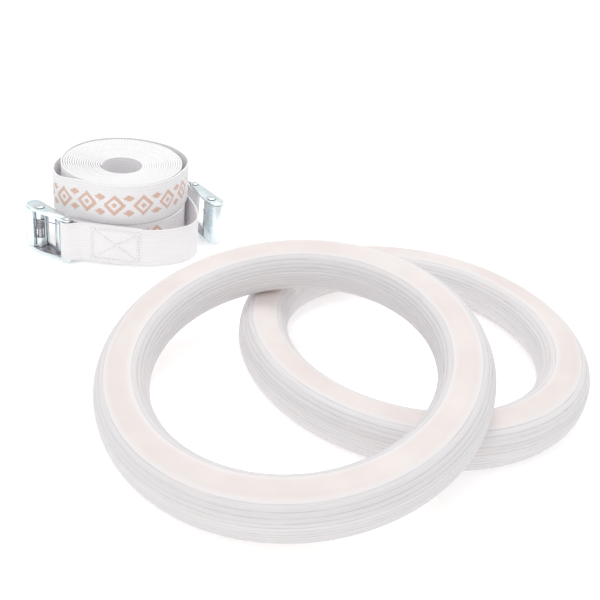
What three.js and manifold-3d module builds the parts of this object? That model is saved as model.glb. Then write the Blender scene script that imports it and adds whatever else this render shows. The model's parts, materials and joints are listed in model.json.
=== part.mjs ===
// A set of gymnastics rings laid out on a floor: two laminated wooden rings, one lying flat and one
// leaning on it, and the two hanging straps, each wound into a roll with its cam buckle at the end.
// The straps are stacked, one roll on the other. All lengths are in millimetres, +Z is up.
import * as THREE from "three";
import { mergeVertices } from "three/addons/utils/BufferGeometryUtils.js";
import Module from "manifold-3d";

// Rings
const RING_OUTER_D = 235;
const GRIP_WIDTH = 32.5; // radial size of the ring's section
const GRIP_HEIGHT = 32; // axial size of the ring's section
const GRIP_ROUND = 14.5; // rounding radius of the section's four corners
const RING_STEPS = 60;
const CORNER_STEPS = 5;
const LEAN_DEG = 12.22; // how far the leaning ring is tipped
const LEAN_AXIS_DEG = -48.05; // plan direction of the axis it is tipped about
const LEANING_AT = new THREE.Vector2(-82.2, -74.0); // its centre, from the flat ring's centre

// Webbing
const WEB_WIDTH = 32;
const WEB_THICK = 1.4;
const GAP = 0.3; // clearance between neighbouring pieces
const LAYER = (WEB_THICK + GAP) / 2; // offset of either layer where the webbing is doubled
const CORE_HOLE_R = 15.4;
const CORE_SHIFT = new THREE.Vector2(1.0, -8.8); // the turns lie tighter on this side of the hole
const LOWER_CORE_R = 48.4;
const UPPER_CORE_R = 48.2;
const STACK_GAP = 0.6; // between the two rolls
const UPPER_BASE = WEB_WIDTH + STACK_GAP;
const LOWER_AT = new THREE.Vector2(-222.7, 143.6);
const UPPER_AT = new THREE.Vector2(-226.5, 143.5);
const DOUBLED_LENGTH = 58; // webbing folded back on itself behind the anchor rod
const SPREAD_LENGTH = 12; // over which the two layers close up behind the rod
const LOOP_R = 4.2; // centre line of the loop round the rod
const LOOP_JOIN = 9; // where the loop piece meets the outer wrap
const STITCH_START = 20; // box of stitches, measured from the rod
const STITCH_LENGTH = 37;
const STITCH_MARGIN = 3.2; // from the webbing's edges
const THREAD_WIDE = 1.1;
const THREAD_THICK = 0.4;
const FINEST = 0.01; // edges shorter than this are dropped after a union

// Routes of the outermost turn of each strap, as [angle in degrees, distance from its roll's centre]
// from the anchor rod inwards to where it lies tight on the roll.
const LOWER_ROUTE = [
  [237.8, 66.6], [247, 60.6], [256.4, 57.6], [275.7, 56.2], [298, 60.1], [315, 64.2], [328, 66.9],
  [339, 65.4], [352, 59.0], [374.7, 52.1], [400, 50.4], [425, 49.6], [450, 49.4], [490, 49.4],
  [530, 49.4], [570, 49.4],
];
const UPPER_ROUTE = [
  [30.2, 64.5], [44, 62.7], [58, 59.8], [73, 57.2], [88, 55.6], [108, 54.4], [132, 53.6],
  [160, 53.5], [185, 54.0], [200, 53.6], [214, 51.6], [230, 49.6], [245, 49.2], [280, 49.2],
  [315, 49.2], [348, 49.3], [362, 50.9], [376, 53.6], [388, 54.2], [402, 53.0], [422, 50.4],
  [442, 49.3], [480, 49.2], [535, 49.2],
];

// Cam buckles. Each is drawn with its anchor rod at the origin, x towards its wide end, y towards
// the lever's side and z across the webbing.
const EAR_THICK = 1.5;
const HEAD_PROUD = 0.7;
const HEAD_LIFT = 0.25; // under each riveted head
const EAR_BASE = HEAD_PROUD + HEAD_LIFT;
const INNER_WIDTH = WEB_WIDTH + 2 * GAP;
const INNER_BASE = EAR_BASE + EAR_THICK;
const INNER_TOP = INNER_BASE + INNER_WIDTH;
const EAR_TOP = INNER_TOP + EAR_THICK;
const BUCKLE_HEIGHT = EAR_TOP + EAR_BASE;
const ANCHORED_WEB_BASE = INNER_BASE + GAP;
const TIP_X = -0.6;
const TIP_R = 3.4;
const SHOULDER = new THREE.Vector2(21, 6.2);
const END = new THREE.Vector2(36.5, -1.0); // centre of the round wide end
const END_R = 6.3;
const PLATE_THICK = 1.6;
const CROSSBAR_FROM = 12;
const CROSSBAR_TO = 17;
const PLATE_FROM = 27;
const PLATE_TO = 32.6;
const WINDOW_MARGIN = 1.2;
const ANCHOR_R = 2.2;
const PIVOT_X = 30;
const PIVOT_R = 2.0;
const HEAD_R = 4.3;
const ANCHOR_HEAD_R = 3.0;
const BORE_CLEAR = 0.3;
const BARREL_R = 3.5;
const PAD_THICK = 1.7;
const PAD_PROUD = 0.5; // of the ears' round end
const PAD_FROM_DEG = -48;
const PAD_FLANGE = 5.2; // flat part of the pad, from its round end back towards the pivot
const RIB_FROM_DEG = 35.2;
const RIB_TO_DEG = 60;
const RIB_PITCH = 2.3;
const RIB_COUNT = 13;
const RIB_WIDE = 1.2;
const RIB_PROUD = 0.5;
const CHEEK_THICK = 1.6;
const NOSE_R = 4.5;
const NOSE_FROM_DEG = -140;
const NOSE_TO_DEG = -84;
const NOSE_TEETH = 4;
const SPRING_ROOM = 16.4; // gap in the lever's barrel that holds the spring
const SPRING_BORE_R = 3.6; // the nose is hollowed to this radius round the coil
const WIRE_R = 0.5;
const COIL_R = 2.8;
const COIL_TURNS = 6;
const COIL_PITCH = 1.35;
const LEG_TURN_DEG = 18; // where the coil lets its leg go, past a whole number of turns
const LEFT_ANCHOR = new THREE.Vector2(-35.5, -56.3); // from the lower roll's centre
const LEFT_HEADING_DEG = 147.3;
const RIGHT_ANCHOR = new THREE.Vector2(51.95, 32.3);
const RIGHT_HEADING_DEG = -56.3;

const wasm = await Module();
wasm.setup();

const wood = () => new THREE.MeshStandardMaterial({ color: 0xece2d4, roughness: 0.55 });
const webbing = () => new THREE.MeshStandardMaterial({ color: 0xe9e8ea, roughness: 0.9 });
const thread = () => new THREE.MeshStandardMaterial({ color: 0xf4f3f4, roughness: 0.8 });
const zinc = () => new THREE.MeshStandardMaterial({ color: 0xcdd8df, roughness: 0.35, metalness: 1 });

function toSolid(geometry) {
  const positions = new THREE.BufferGeometry();
  const loose = geometry.index ? geometry.toNonIndexed() : geometry;
  positions.setAttribute("position", loose.getAttribute("position"));
  const merged = mergeVertices(positions, 1e-3);
  return new wasm.Manifold(new wasm.Mesh({
    numProp: 3,
    vertProperties: new Float32Array(merged.attributes.position.array),
    triVerts: new Uint32Array(merged.index.array),
  }));
}

function fromSolid(solid) {
  const mesh = solid.getMesh();
  const geometry = new THREE.BufferGeometry();
  geometry.setAttribute("position", new THREE.BufferAttribute(mesh.vertProperties, 3));
  geometry.setIndex(new THREE.BufferAttribute(mesh.triVerts, 1));
  geometry.computeVertexNormals();
  return geometry;
}

function join(geometries) {
  return geometries.map(toSolid).reduce((all, one) => all.add(one));
}

function named(name, geometry, material) {
  const mesh = new THREE.Mesh(geometry, material);
  mesh.name = name;
  return mesh;
}

function smooth(t) {
  const c = THREE.MathUtils.clamp(t, 0, 1);
  return c * c * (3 - 2 * c);
}

// A flat plate standing on z = base, drawn in x and y.
function plate(shape, base, height, steps = 6) {
  const settings = { depth: height, bevelEnabled: false, curveSegments: steps };
  const geometry = new THREE.ExtrudeGeometry(shape, settings);
  geometry.translate(0, 0, base);
  return geometry;
}

function block(x0, x1, y0, y1, z0, z1) {
  const geometry = new THREE.BoxGeometry(x1 - x0, y1 - y0, z1 - z0);
  geometry.translate((x0 + x1) / 2, (y0 + y1) / 2, (z0 + z1) / 2);
  return geometry;
}

// A turned solid about +Z through (x, y): the profile is a list of radius and height.
function turned(profile, x, y, steps) {
  const points = profile.map(([r, z]) => new THREE.Vector2(r, z));
  const geometry = new THREE.LatheGeometry(points, steps);
  geometry.rotateX(Math.PI / 2);
  geometry.translate(x, y, 0);
  return geometry;
}

// ---- Rings ----

function ringGeometry() {
  const mid = (RING_OUTER_D - GRIP_WIDTH) / 2;
  const flatR = GRIP_WIDTH / 2 - GRIP_ROUND;
  const flatZ = GRIP_HEIGHT / 2 - GRIP_ROUND;
  const profile = [];
  const corners = [[1, 1], [-1, 1], [-1, -1], [1, -1]];
  corners.forEach(([sideR, sideZ], corner) => {
    for (let i = 0; i <= CORNER_STEPS; i += 1) {
      const a = (corner + i / CORNER_STEPS) * (Math.PI / 2);
      const r = mid + sideR * flatR + GRIP_ROUND * Math.cos(a);
      const z = sideZ * flatZ + GRIP_ROUND * Math.sin(a);
      profile.push([r, z]);
    }
  });
  profile.push(profile[0]);
  return turned(profile, 0, 0, RING_STEPS);
}

// Height of the tipped ring's centre when its lowest point is on the floor.
function leaningHeight() {
  const lean = THREE.MathUtils.degToRad(LEAN_DEG);
  const mid = (RING_OUTER_D - GRIP_WIDTH) / 2;
  const reach = (mid + GRIP_WIDTH / 2 - GRIP_ROUND) * Math.sin(lean);
  return reach + (GRIP_HEIGHT / 2 - GRIP_ROUND) * Math.cos(lean) + GRIP_ROUND;
}

function rings() {
  const flat = named("ring_flat", ringGeometry(), wood());
  flat.position.z = GRIP_HEIGHT / 2;
  const leaning = named("ring_leaning", ringGeometry(), wood());
  const turn = THREE.MathUtils.degToRad(LEAN_AXIS_DEG);
  const axis = new THREE.Vector3(Math.cos(turn), Math.sin(turn), 0);
  leaning.quaternion.setFromAxisAngle(axis, THREE.MathUtils.degToRad(LEAN_DEG));
  leaning.position.set(LEANING_AT.x, LEANING_AT.y, leaningHeight());
  return [flat, leaning];
}

// ---- Straps ----

// A strip of webbing standing on edge along points whose z is the height of its lower edge.
function ribbon(points, steps, width = WEB_WIDTH, thick = WEB_THICK) {
  const curve = new THREE.CatmullRomCurve3(points, false, "centripetal");
  curve.arcLengthDivisions = 800;
  const length = curve.getLength();
  const geometry = new THREE.BoxGeometry(length, thick, width, steps, 1, 1);
  const place = geometry.attributes.position;
  for (let i = 0; i < place.count; i += 1) {
    const t = THREE.MathUtils.clamp(place.getX(i) / length + 0.5, 0, 1);
    const at = curve.getPointAt(t);
    const along = curve.getTangentAt(t);
    const side = new THREE.Vector2(along.y, -along.x).normalize();
    const off = place.getY(i);
    const up = place.getZ(i) + width / 2;
    // The strip turns anticlockwise, so its outer face is on the right of its direction.
    place.setXYZ(i, at.x + side.x * off, at.y + side.y * off, at.z + up);
  }
  // y now points outwards, to the right of x, which turns the box inside out.
  const index = geometry.index.array;
  for (let i = 0; i < index.length; i += 3) {
    [index[i + 1], index[i + 2]] = [index[i + 2], index[i + 1]];
  }
  geometry.computeVertexNormals();
  return geometry;
}

function polar(centre, deg, r, z) {
  const a = THREE.MathUtils.degToRad(deg);
  return new THREE.Vector3(centre.x + r * Math.cos(a), centre.y + r * Math.sin(a), z);
}

function lowerEdge(deg) {
  return ANCHORED_WEB_BASE * (1 - smooth((deg - 262) / 58));
}

function upperEdge(deg) {
  const behind = ANCHORED_WEB_BASE + (UPPER_BASE - 4 - ANCHORED_WEB_BASE) * smooth((deg - 45) / 140);
  return behind + 4 * smooth((deg - 196) / 32);
}

function routeCurve(centre, route, edge) {
  const controls = route.map(([deg, r]) => new THREE.Vector3(deg, r, 0));
  const rounded = new THREE.CatmullRomCurve3(controls, false, "centripetal").getPoints(240);
  const points = rounded.map((p) => polar(centre, p.x, p.y, edge(p.x)));
  const curve = new THREE.CatmullRomCurve3(points, false, "centripetal");
  curve.arcLengthDivisions = 1200;
  return curve;
}

// A point at distance s along a route, pushed outwards by off.
function beside(curve, s, off) {
  const t = THREE.MathUtils.clamp(s / curve.getLength(), 0, 1);
  const at = curve.getPointAt(t);
  const along = curve.getTangentAt(t);
  const side = new THREE.Vector2(along.y, -along.x).normalize();
  return new THREE.Vector3(at.x + side.x * off, at.y + side.y * off, at.z);
}

// Distance of each layer from the route: apart at the rod, closed behind it.
function layerOffset(s) {
  const open = (LOOP_R - LAYER) * (1 - smooth(s / SPREAD_LENGTH));
  return LAYER + open;
}

function outerOffset(s) {
  const doubled = 1 - smooth((s - DOUBLED_LENGTH) / 22);
  return layerOffset(s) * doubled;
}

function outerWrap(curve, steps) {
  const points = [];
  const from = LOOP_JOIN + GAP;
  const length = curve.getLength() - from;
  const count = 150;
  for (let i = 0; i <= count; i += 1) {
    const s = from + (length * i) / count;
    points.push(beside(curve, s, outerOffset(s)));
  }
  return ribbon(points, steps);
}

function sewnLoop(curve) {
  const points = [];
  for (let s = LOOP_JOIN; s > 0.5; s -= 2) points.push(beside(curve, s, layerOffset(s)));
  const rod = beside(curve, 0, 0);
  const outward = beside(curve, 0, 1).sub(rod);
  const back = new THREE.Vector3(outward.y, -outward.x, 0);
  for (let i = 0; i <= 8; i += 1) {
    const a = (Math.PI * i) / 8;
    const turnedTo = outward.clone().multiplyScalar(LOOP_R * Math.cos(a));
    turnedTo.addScaledVector(back, LOOP_R * Math.sin(a));
    points.push(rod.clone().add(turnedTo));
  }
  for (let s = 2; s <= DOUBLED_LENGTH; s += 2) points.push(beside(curve, s, -layerOffset(s)));
  return ribbon(points, 84);
}

// One stitched line from (s0, h0) to (s1, h1) on the outer face.
function stitchLine(curve, s0, h0, s1, h1, wide, thick) {
  const points = [];
  const steps = Math.max(2, Math.round(Math.abs(s1 - s0) / 3));
  for (let i = 0; i <= steps; i += 1) {
    const s = s0 + ((s1 - s0) * i) / steps;
    const lift = outerOffset(s) + WEB_THICK / 2 + GAP + thick / 2;
    const point = beside(curve, s, lift);
    point.z += h0 + ((h1 - h0) * i) / steps - wide / 2;
    points.push(point);
  }
  return ribbon(points, steps, wide, thick);
}

function stitching(curve) {
  const s0 = STITCH_START;
  const s1 = STITCH_START + STITCH_LENGTH;
  const low = STITCH_MARGIN;
  const high = WEB_WIDTH - STITCH_MARGIN;
  const middle = (low + high) / 2;
  const tall = high - low + THREAD_WIDE + 0.4;
  const halfWide = THREAD_WIDE / 2 + 0.1;
  const lines = [
    stitchLine(curve, s0, low, s1, low, THREAD_WIDE, THREAD_THICK),
    stitchLine(curve, s0, high, s1, high, THREAD_WIDE, THREAD_THICK),
    stitchLine(curve, s0, low, s1, high, THREAD_WIDE, THREAD_THICK * 0.7),
    stitchLine(curve, s0, high, s1, low, THREAD_WIDE, THREAD_THICK * 0.7),
    stitchLine(curve, s0 - halfWide, middle, s0 + halfWide, middle, tall, THREAD_THICK * 1.3),
    stitchLine(curve, s1 - halfWide, middle, s1 + halfWide, middle, tall, THREAD_THICK * 1.3),
  ];
  return fromSolid(join(lines).simplify(FINEST));
}

function rollGeometry(centre, radius, base) {
  const shape = circle(centre.x, centre.y, radius);
  const hole = new THREE.Path();
  hole.absarc(centre.x + CORE_SHIFT.x, centre.y + CORE_SHIFT.y, CORE_HOLE_R, 0, 2 * Math.PI, true);
  shape.holes.push(hole);
  return plate(shape, base, WEB_WIDTH, 30);
}

function strap(prefix, centre, route, edge, coreR, base) {
  const curve = routeCurve(centre, route, edge);
  const steps = Math.round(curve.getLength() / 4);
  return [
    named(`${prefix}_strap_roll`, rollGeometry(centre, coreR, base), webbing()),
    named(`${prefix}_strap_outer_wrap`, outerWrap(curve, steps), webbing()),
    named(`${prefix}_strap_sewn_loop`, sewnLoop(curve), webbing()),
    named(`${prefix}_strap_stitching`, stitching(curve), thread()),
  ];
}

// ---- Buckles ----

// The straight far edge of the ears, which the base plate is bent up from.
function farEdge(x) {
  const from = new THREE.Vector2(TIP_X, -TIP_R);
  const to = new THREE.Vector2(END.x, END.y - END_R);
  return from.y + ((x - from.x) * (to.y - from.y)) / (to.x - from.x);
}

function earShape() {
  const shape = new THREE.Shape();
  shape.moveTo(TIP_X, -TIP_R);
  shape.lineTo(END.x, END.y - END_R);
  shape.absarc(END.x, END.y, END_R, -Math.PI / 2, Math.PI / 2, false);
  shape.bezierCurveTo(END.x - 5, END.y + END_R + 1, SHOULDER.x + 6, SHOULDER.y + 0.5, SHOULDER.x, SHOULDER.y);
  shape.bezierCurveTo(SHOULDER.x - 6, SHOULDER.y - 0.6, SHOULDER.x - 8, TIP_R + 0.2, TIP_X, TIP_R);
  shape.absarc(TIP_X, 0, TIP_R, Math.PI / 2, (3 * Math.PI) / 2, false);
  return shape;
}

function plateStrip(from, to) {
  const shape = new THREE.Shape();
  shape.moveTo(from, farEdge(from));
  shape.lineTo(to, farEdge(to));
  shape.lineTo(to, farEdge(to) + PLATE_THICK);
  shape.lineTo(from, farEdge(from) + PLATE_THICK);
  return shape;
}

function bore(x, radius) {
  return toSolid(turned([[0, -2], [radius, -2], [radius, 60], [0, 60]], x, 0, 24));
}

function frameGeometry() {
  const height = EAR_TOP - EAR_BASE;
  let solid = join([
    plate(earShape(), EAR_BASE, EAR_THICK),
    plate(earShape(), INNER_TOP, EAR_THICK),
    plate(plateStrip(CROSSBAR_FROM, PLATE_TO), EAR_BASE, height),
  ]);
  const low = INNER_BASE + WINDOW_MARGIN;
  const high = INNER_TOP - WINDOW_MARGIN;
  solid = solid.subtract(toSolid(block(CROSSBAR_TO, PLATE_FROM, -12, -1, low, high)));
  solid = solid.subtract(bore(0, ANCHOR_R + BORE_CLEAR));
  solid = solid.subtract(bore(PIVOT_X, PIVOT_R + BORE_CLEAR));
  return fromSolid(solid.simplify(FINEST));
}

// A pin through both ears with a low domed head peened over each end.
function rivetedPin(x, radius, headR) {
  const crown = headR * 0.72;
  const rim = EAR_BASE - HEAD_LIFT;
  const half = [[0, 0], [crown, 0], [headR, rim * 0.45], [headR, rim], [radius, rim]];
  const other = half.map(([r, z]) => [r, BUCKLE_HEIGHT - z]).reverse();
  return turned([...half, ...other], x, 0, 20);
}

function arcShell(centre, r0, r1, fromDeg, toDeg) {
  const from = THREE.MathUtils.degToRad(fromDeg);
  const to = THREE.MathUtils.degToRad(toDeg);
  const shape = new THREE.Shape();
  shape.absarc(centre.x, centre.y, r1, from, to, false);
  shape.absarc(centre.x, centre.y, r0, to, from, true);
  return shape;
}

// A cheek of the lever: from round the pivot out to the thumb pad.
function cheekShape() {
  const shape = new THREE.Shape();
  const reach = END_R + PAD_PROUD - PAD_THICK / 2;
  shape.absarc(PIVOT_X, 0, BARREL_R, Math.PI / 2, (3 * Math.PI) / 2, false);
  shape.lineTo(END.x + reach * 0.5, END.y - reach * 0.75);
  shape.absarc(END.x, END.y, reach, -0.7, Math.PI / 2, false);
  shape.lineTo(END.x - PAD_FLANGE, END.y + reach);
  return shape;
}

// The thumb pad: round the wide end, then flat.
function padShape() {
  const outer = END_R + PAD_PROUD;
  const inner = outer - PAD_THICK;
  const from = THREE.MathUtils.degToRad(PAD_FROM_DEG);
  const shape = new THREE.Shape();
  shape.absarc(END.x, END.y, outer, from, Math.PI / 2, false);
  shape.lineTo(END.x - PAD_FLANGE, END.y + outer);
  shape.lineTo(END.x - PAD_FLANGE, END.y + inner);
  shape.absarc(END.x, END.y, inner, Math.PI / 2, from, true);
  return shape;
}

// The cam's toothed nose, a sector round the pivot whose rim rises and falls.
function noseShape() {
  const shape = new THREE.Shape();
  const steps = NOSE_TEETH * 2;
  const inner = PIVOT_R + BORE_CLEAR + 0.4;
  for (let i = 0; i <= steps; i += 1) {
    const deg = NOSE_FROM_DEG + ((NOSE_TO_DEG - NOSE_FROM_DEG) * i) / steps;
    const a = THREE.MathUtils.degToRad(deg);
    const r = i % 2 === 1 ? NOSE_R : NOSE_R - 0.6;
    const x = PIVOT_X + r * Math.cos(a);
    if (i === 0) shape.moveTo(x, r * Math.sin(a));
    else shape.lineTo(x, r * Math.sin(a));
  }
  const to = THREE.MathUtils.degToRad(NOSE_TO_DEG);
  const from = THREE.MathUtils.degToRad(NOSE_FROM_DEG);
  shape.absarc(PIVOT_X, 0, inner, to, from, true);
  return shape;
}

function circle(x, y, radius) {
  const shape = new THREE.Shape();
  shape.absarc(x, y, radius, 0, 2 * Math.PI, false);
  return shape;
}

function leverGeometry() {
  const base = INNER_BASE + GAP;
  const height = INNER_WIDTH - 2 * GAP;
  const middle = BUCKLE_HEIGHT / 2;
  const padOuter = END_R + PAD_PROUD;
  const pieces = [
    plate(padShape(), base, height),
    plate(cheekShape(), base, CHEEK_THICK),
    plate(cheekShape(), base + height - CHEEK_THICK, CHEEK_THICK),
    plate(circle(PIVOT_X, 0, BARREL_R), base, height, 14),
  ];
  for (let i = 0; i < RIB_COUNT; i += 1) {
    const z = middle + (i - (RIB_COUNT - 1) / 2) * RIB_PITCH - RIB_WIDE / 2;
    const rib = arcShell(END, padOuter - 0.6, padOuter + RIB_PROUD, RIB_FROM_DEG, RIB_TO_DEG);
    pieces.push(plate(rib, z, RIB_WIDE, 6));
  }
  let solid = join(pieces);
  const roomLow = middle - SPRING_ROOM / 2;
  const room = block(PIVOT_X - 5, PIVOT_X + 4.4, -5, 5, roomLow, roomLow + SPRING_ROOM);
  solid = solid.subtract(toSolid(room));
  solid = solid.add(toSolid(plate(noseShape(), base, height)));
  const coilRoom = plate(circle(PIVOT_X, 0, SPRING_BORE_R), roomLow, SPRING_ROOM, 12);
  solid = solid.subtract(toSolid(coilRoom));
  solid = solid.subtract(bore(PIVOT_X, PIVOT_R + BORE_CLEAR));
  return fromSolid(solid.simplify(FINEST));
}

// The torsion spring: a coil round the pivot pin, one leg on the crossbar and one behind the pad.
function springGeometry(base) {
  const points = [];
  const steps = COIL_TURNS * 12 + 1;
  const top = base + COIL_PITCH * COIL_TURNS;
  const sweep = 2 * Math.PI * COIL_TURNS + THREE.MathUtils.degToRad(LEG_TURN_DEG);
  points.push(new THREE.Vector3(PIVOT_X + 3, COIL_R - 0.3, base));
  points.push(new THREE.Vector3(PIVOT_X + 1.5, COIL_R - 0.1, base));
  for (let i = 0; i <= steps; i += 1) {
    const a = Math.PI / 2 + (sweep * i) / steps;
    const z = base + ((top - base) * i) / steps;
    points.push(new THREE.Vector3(PIVOT_X + COIL_R * Math.cos(a), COIL_R * Math.sin(a), z));
  }
  const legY = farEdge(CROSSBAR_FROM) + PLATE_THICK + GAP + WIRE_R;
  points.push(new THREE.Vector3((PIVOT_X + CROSSBAR_TO) / 2, (COIL_R + legY) / 2 + 0.3, top));
  points.push(new THREE.Vector3(CROSSBAR_FROM + 1, legY, top));
  const curve = new THREE.CatmullRomCurve3(points, false, "centripetal");
  curve.arcLengthDivisions = 1200;
  const wire = new THREE.Shape();
  wire.absarc(0, 0, WIRE_R, 0, 2 * Math.PI, false);
  const settings = { steps: 84, curveSegments: 3, extrudePath: curve, bevelEnabled: false };
  return new THREE.ExtrudeGeometry(wire, settings);
}

function buckle(prefix, anchor, headingDeg, turnedOver, springBase) {
  const group = new THREE.Group();
  group.add(named(`${prefix}_buckle_frame`, frameGeometry(), zinc()));
  group.add(named(`${prefix}_buckle_cam_lever`, leverGeometry(), zinc()));
  group.add(named(`${prefix}_buckle_pivot_pin`, rivetedPin(PIVOT_X, PIVOT_R, HEAD_R), zinc()));
  group.add(named(`${prefix}_buckle_torsion_spring`, springGeometry(springBase), zinc()));
  group.add(named(`${prefix}_buckle_anchor_rod`, rivetedPin(0, ANCHOR_R, ANCHOR_HEAD_R), zinc()));
  const flip = new THREE.Matrix4().makeRotationX(turnedOver ? Math.PI : 0);
  flip.setPosition(0, 0, turnedOver ? BUCKLE_HEIGHT : 0);
  const turn = new THREE.Matrix4().makeRotationZ(THREE.MathUtils.degToRad(headingDeg));
  turn.setPosition(LOWER_AT.x + anchor.x, LOWER_AT.y + anchor.y, 0);
  group.applyMatrix4(turn.multiply(flip));
  return group;
}

// ---- Assembly ----

const set = new THREE.Group();
set.name = "gymnastics_rings";
rings().forEach((ring) => set.add(ring));
strap("lower", LOWER_AT, LOWER_ROUTE, lowerEdge, LOWER_CORE_R, 0).forEach((piece) => set.add(piece));
strap("upper", UPPER_AT, UPPER_ROUTE, upperEdge, UPPER_CORE_R, UPPER_BASE).forEach((piece) => set.add(piece));
const springTop = BUCKLE_HEIGHT / 2 + SPRING_ROOM / 2 - WIRE_R - GAP;
const springLow = springTop - COIL_PITCH * COIL_TURNS;
set.add(buckle("left", LEFT_ANCHOR, LEFT_HEADING_DEG, false, springLow));
set.add(buckle("right", RIGHT_ANCHOR, RIGHT_HEADING_DEG, true, BUCKLE_HEIGHT - springTop));

// The origin is under the middle of the whole set, on the floor.
set.updateMatrixWorld(true);
const box = new THREE.Box3().setFromObject(set, true);
set.position.set(-(box.min.x + box.max.x) / 2, -(box.min.y + box.max.y) / 2, -box.min.z);

export default set;
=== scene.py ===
"""Gymnastics rings: two laminated wooden rings and two rolled webbing straps with cam buckles."""
import bisect
import json
import math

import bmesh
import bpy
from mathutils import Matrix, Vector, noise
from mathutils.bvhtree import BVHTree

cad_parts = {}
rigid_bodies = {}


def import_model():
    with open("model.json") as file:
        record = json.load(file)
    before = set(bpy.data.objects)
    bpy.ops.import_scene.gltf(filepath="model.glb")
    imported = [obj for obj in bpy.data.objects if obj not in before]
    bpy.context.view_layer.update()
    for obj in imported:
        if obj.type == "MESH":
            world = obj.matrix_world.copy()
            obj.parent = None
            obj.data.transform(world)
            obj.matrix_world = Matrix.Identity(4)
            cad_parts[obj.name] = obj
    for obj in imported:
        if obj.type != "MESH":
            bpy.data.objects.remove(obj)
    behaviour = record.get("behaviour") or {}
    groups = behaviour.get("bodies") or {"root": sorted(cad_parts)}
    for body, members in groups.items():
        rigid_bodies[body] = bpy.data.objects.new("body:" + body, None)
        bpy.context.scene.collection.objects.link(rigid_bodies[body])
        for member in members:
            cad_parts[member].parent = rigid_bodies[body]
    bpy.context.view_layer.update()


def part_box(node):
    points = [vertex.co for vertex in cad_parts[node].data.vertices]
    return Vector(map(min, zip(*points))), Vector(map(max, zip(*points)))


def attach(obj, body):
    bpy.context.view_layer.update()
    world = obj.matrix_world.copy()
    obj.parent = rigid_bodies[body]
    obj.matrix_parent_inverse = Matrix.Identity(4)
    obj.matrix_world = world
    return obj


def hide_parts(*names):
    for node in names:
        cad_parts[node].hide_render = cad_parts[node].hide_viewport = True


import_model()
CAD_OBJECTS = {o.name: o for o in bpy.data.objects}
MM = 0.001


# ---------------------------------------------------------------- places in the frame

def centre_of(node):
    low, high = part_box(node)
    return (Vector(low) + Vector(high)) / 2


FLAT_RING = centre_of("ring_flat")
LEANING_RING = centre_of("ring_leaning")
LOWER_ROLL = centre_of("lower_strap_roll")
UPPER_ROLL = centre_of("upper_strap_roll")

# ---------------------------------------------------------------- driving sizes (mm, degrees)

# Rings
GRIP_MID_R = 101.25
GRIP_HALF_WIDTH = 16.25
GRIP_HALF_HEIGHT = 16.0
GRIP_ROUND = 14.5
FACE_PLY = 1.6
INNER_PLIES = 13
PLY = (2 * GRIP_HALF_HEIGHT - 2 * FACE_PLY) / INNER_PLIES
GROOVE_HALF = 0.17
GROOVE_DEPTH = 0.13
GROOVE_WEAR = 0.09  # how much a groove's depth varies along it
PLY_BULGE = 0.03
SANDED_OFF = 0.03  # from the whole side, never from the flat faces
RING_STEPS = 300
LEAN_DEG = 12.22
LEAN_AXIS_DEG = -48.05
KNOT_PLACES = [(-5.5, 92.2), (-0.6, 90.4)]

# Webbing, and how it is wound
WEB_WIDTH = 32.0
WEB_THICK = 1.34
TURN_PITCH = 1.86
TURN_GAP = 0.27  # air between one turn and the next
PLUMPEST = 1.95  # the webbing's thickness where its turns are loose
CORE_HOLE_R = 15.4
CORE_SHIFT = Vector((1.0, -8.8, 0))  # the opening's middle, from the roll's middle
TIGHT_R = 47.6  # turns smaller than this lie against each other
SPLINE_STEP = 2.5  # degrees between points along the route below
CORE_STEP = 5.0  # and on the turns inside it
LINE_STEP = 2.0  # length between the webbing's sections, near the buckle
INNER_STEP = 2.6  # and farther in
INNER_FROM = 420  # the length at which the step changes
UNEVEN_EDGE = 0.32  # how far the inner turns may stand above their roll's base

# The end doubled round the anchor rod
LAYER = 0.85  # from the middle of the doubled webbing to the middle of either layer
LOOP_R = 4.2
HALF_LOOP = math.pi * LOOP_R / 2
SPREAD_LENGTH = 12.0  # over which the two layers part, up to the rod
DOUBLED_LENGTH = 58.0
STEP_DOWN_LENGTH = 22  # over which the outer layer comes back to the strap's line
ANCHORED_EDGE = 2.75  # the bottom edge's height at the buckle
UPPER_BASE = 32.6  # the upper roll's underside
LAST_CLIMB = 4  # what is left to climb when the strap comes round to the left

# The box stitch
STITCH_START = 20.0
STITCH_LENGTH = 37.0
STITCH_MARGIN = 3.2
STITCH_PITCH = 2.35
BAR_WIDTH = 2.4
STITCH_TRIM = 0.1  # the share of the pitch left free at either end of a stitch
STITCH_SWAY = 0.45
THREAD_R = 0.58
THREAD_FLATNESS = 0.8
THREAD_SINK = 0.10  # of a stitch's arch, at its feet, into the webbing
THREAD_RISE = 0.42  # of the arch's top, above its feet
THREAD_TIP = 0.04  # the share of the arch left out at either foot

# The strap's line seen from above, from the anchor rod inwards: (angle, radius) about its roll
LOWER_ROUTE = [
    (237.8, 66.6), (247, 60.6), (256.4, 57.6), (275.7, 56.2), (298, 60.1), (315, 64.2),
    (328, 66.9), (339, 65.4), (352, 59.0), (374.7, 51.6), (400, 49.6), (425, 48.6), (450, 48.1),
]
UPPER_ROUTE = [
    (30.2, 64.5), (44, 62.7), (58, 59.8), (73, 57.2), (88, 55.6), (108, 54.4), (132, 53.6),
    (160, 52.2), (178, 52.2), (192, 53.7), (204, 54.6), (216, 54.0), (229, 51.6), (242, 49.6),
    (256, 49.2), (280, 49.2), (315, 49.2), (348, 49.3), (362, 50.9), (376, 53.0), (388, 53.4),
    (402, 52.4), (422, 50.2), (442, 49.1), (480, 48.5), (520, 48.0), (560, 47.7), (600, 47.5),
]

# The woven ornament: where it starts and ends along the strap, and the height of its middle
LOWER_ORNAMENT = (396, 410, 20.8)
UPPER_ORNAMENT = (169, 317, 16.0)
ORNAMENT_CELL = 0.95  # one yarn of the pattern
ORNAMENT_PERIOD = 22.0  # from one lozenge to the next
ORNAMENT_LEAD = 4.0

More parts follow.
